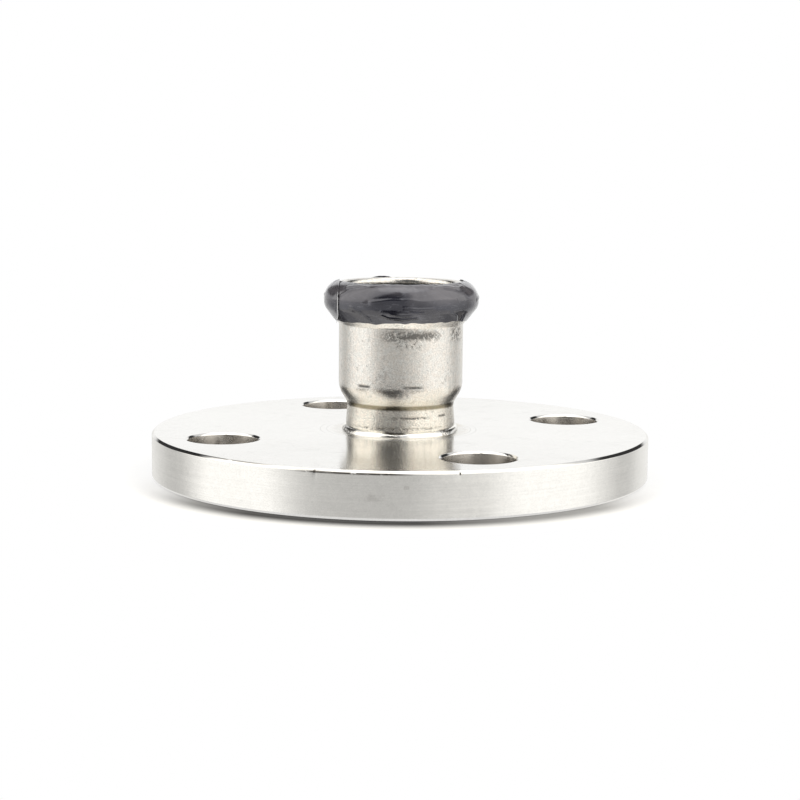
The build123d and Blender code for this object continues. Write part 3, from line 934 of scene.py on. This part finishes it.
def make_floor():
    """Pale floor: white away from the fitting, and lit by the studio near it, where the cast shadow lies under a
    painted contact shadow.
    """
    mesh = bpy.data.meshes.new("floor")
    corners = [(-1, -1), (1, -1), (1, 1), (-1, 1)]
    mesh.from_pydata([(x * FLOOR_HALF, y * FLOOR_HALF, 0.0) for x, y in corners], [], [(0, 1, 2, 3)])
    floor = bpy.data.objects.new("floor", mesh)
    bpy.context.scene.collection.objects.link(floor)
    material = bpy.data.materials.new("floor_white")
    material.use_nodes = True
    material.node_tree.nodes.clear()
    n = Nodes(material.node_tree)
    position = n.add("TexCoord").outputs["Object"]
    split = n.add("SeparateXYZ", {"Vector": n.vector_turned(position)}).outputs
    away = n.vector("LENGTH", position)
    far = n.spread(away, (SHADOW_END - 4) * MM, (SHADOW_END + 3) * MM)
    fall = n.ramp(n.spread(away, 49.0 * MM, SHADOW_END * MM, smooth=False),
                  [((r - 49.0) / (SHADOW_END - 49.0), (v, v, v)) for r, v in SHADOW_FALL])
    turn = n.math("DIVIDE", n.math("ARCTAN2", split["Y"], split["X"]), FULL_TURN)
    strength = n.ramp(n.math("ADD", turn, 0.5), [((d + 180) / 360, (v, v, v)) for d, v in SHADOW_ROUND])
    beside = n.ramp(n.math("ADD", turn, 0.5), [((d + 180) / 360, (v, v, v)) for d, v in WHITE_ROUND])
    under = n.spread(away, 49.0 * MM, 49.6 * MM)
    far = n.math("MAXIMUM", far, n.math("MULTIPLY", beside, under))
    # Painted contact shadow: the floor's colour darkens near the rim, by distance from the axis and by angle from the
    # camera.
    shade = n.mix(n.math("MULTIPLY", strength, under), grey(1.0), fall)
    lit = n.add("BsdfDiffuse", {"Color": n.mix(1.0, (0.96, 0.955, 0.95, 1), shade, "MULTIPLY")}).outputs[0]
    white = n.add("Emission", {"Color": grey(1.0), "Strength": 1.0}).outputs[0]
    both = n.add("MixShader", {"Fac": far})
    n.put(both.inputs[1], lit)
    n.put(both.inputs[2], white)
    clear = n.add("BsdfTransparent").outputs[0]
    sided = n.add("MixShader", {"Fac": n.add("NewGeometry").outputs["Backfacing"]})
    n.put(sided.inputs[1], both.outputs[0])
    n.put(sided.inputs[2], clear)
    n.put(n.add("OutputMaterial").inputs["Surface"], sided.outputs[0])
    mesh.materials.append(material)
    floor.visible_glossy = False
    return floor


# Light at and below the horizon, by degrees to the right of the camera's direction
HORIZON_LEVELS = (
    (-180, 0.92), (-156, 0.90), (-146, 0.86), (-138, 0.78), (-128, 0.66), (-116, 0.70), (-106, 1.05), (-97, 1.34),
    (-60, 1.34), (-50, 0.98), (-42, 0.76), (-32, 0.69), (-4, 0.64), (6, 0.66), (14, 0.78), (38, 0.92), (46, 1.15),
    (56, 1.32), (84, 1.32), (94, 1.25), (104, 1.0), (118, 0.70), (128, 0.70), (140, 0.92), (150, 0.98), (180, 0.92))


def make_studio():
    """White to the camera; to the fitting, a studio by direction: two tall soft boxes and darker gaps.

    Turned so that the camera's direction is angle 0. The white background stands behind the fitting. The
    level round the turn follows one ramp at and below the horizon. The soft boxes, the dark front, which
    narrows upwards, and the two dark gaps beside the background stand above it.
    """
    world = bpy.data.worlds.new("studio")
    bpy.context.scene.world = world
    world.use_nodes = True
    world.node_tree.nodes.clear()
    n = Nodes(world.node_tree)
    direction = n.add("TexCoord").outputs["Generated"]
    split = n.add("SeparateXYZ", {"Vector": n.vector_turned(direction)}).outputs
    side = n.math("DIVIDE", n.math("ARCTAN2", split["Y"], split["X"]), math.radians(1.0))
    up = n.math("DIVIDE", n.math("ARCSINE", split["Z"]), math.radians(1.0))
    round_share = n.spread(side, -180.0, 180.0, smooth=False)
    low = n.ramp(round_share, [((degrees + 180) / 360, (level / 2, level / 2, level / 2))
                               for degrees, level in HORIZON_LEVELS])
    low = n.mix(1.0, low, (2.0, 1.985, 1.93, 1), "MULTIPLY")
    from_front = n.math("ABSOLUTE", side)
    left_box = n.math("MULTIPLY", n.spread(side, -126, -114), n.spread(side, -34, -46))
    right_box = n.math("MULTIPLY", n.spread(side, 12, 26), n.spread(side, 120, 108))
    box = n.math("MAXIMUM", left_box, right_box)
    box = n.math("MULTIPLY", box, n.math("MULTIPLY", n.spread(up, 0, 6), n.spread(up, 72, 60)))
    left_edge = n.spread(up, 4.0, 76.0, -62.0, -18.0, smooth=False)
    right_edge = n.spread(up, 4.0, 76.0, 18.0, -10.0, smooth=False)
    front = n.math("MULTIPLY", n.spread(n.math("SUBTRACT", side, left_edge), -5, 5),
                   n.spread(n.math("SUBTRACT", right_edge, side), -5, 5))
    front = n.math("MULTIPLY", front, n.math("MULTIPLY", n.spread(up, -2, 4), n.spread(up, 79, 69)))
    gap = n.math("MULTIPLY", n.spread(from_front, 118, 126), n.spread(from_front, 160, 151))
    gap = n.math("MULTIPLY", gap, n.math("MULTIPLY", n.spread(up, 8, 13), n.spread(up, 42, 34)))
    high = n.mix(n.spread(from_front, 150, 162), grey(0.80), (1.10, 1.10, 1.09, 1))
    high = n.mix(n.spread(up, 60, 76), high, (2.4, 2.37, 2.28, 1))
    high = n.mix(box, high, (1.76, 1.72, 1.63, 1))
    high = n.mix(front, high, n.mix(n.spread(up, 10, 20), grey(0.26), grey(0.04)))
    high = n.mix(gap, high, grey(0.04))
    studio = n.mix(n.spread(up, -1, 6), low, high)
    studio = n.mix(n.spread(up, -28, -45), studio, grey(0.90))
    path = n.add("LightPath").outputs
    seen = n.math("MAXIMUM", path["Is Camera Ray"], path["Is Transmission Ray"])
    n.put(n.add("OutputWorld").inputs["Surface"],
          n.add("Background", {"Color": n.mix(seen, studio, grey(1.0)), "Strength": 1.0}).outputs[0])
    return world


def make_camera():
    """The photograph's camera, from its place and tilt round the fitting's axis."""
    azimuth, pitch, roll = CAMERA_AZIMUTH, CAMERA_PITCH, CAMERA_ROLL
    side = Vector((math.cos(azimuth), math.sin(azimuth), 0.0))
    ahead = Vector((-math.sin(azimuth) * math.cos(pitch), math.cos(azimuth) * math.cos(pitch), -math.sin(pitch)))
    over = side.cross(ahead)
    right = side * math.cos(roll) + over * math.sin(roll)
    up = over * math.cos(roll) - side * math.sin(roll)
    data = bpy.data.cameras.new("camera")
    data.lens = CAMERA_LENS
    data.sensor_width = 36.0
    data.clip_start, data.clip_end = 0.01, 50.0
    camera = bpy.data.objects.new("camera", data)
    bpy.context.scene.collection.objects.link(camera)
    place = side * CAMERA_SIDE + Vector((math.sin(azimuth), -math.cos(azimuth), 0.0)) * CAMERA_DISTANCE
    camera.matrix_world = Matrix.Translation((place + Vector((0, 0, CAMERA_HEIGHT))) * MM) @ Matrix(
        (right, up, -ahead)).transposed().to_4x4()
    bpy.context.scene.camera = camera
    return camera


make_floor()
make_studio()
make_camera()
bpy.context.scene.view_settings.view_transform = "Standard"
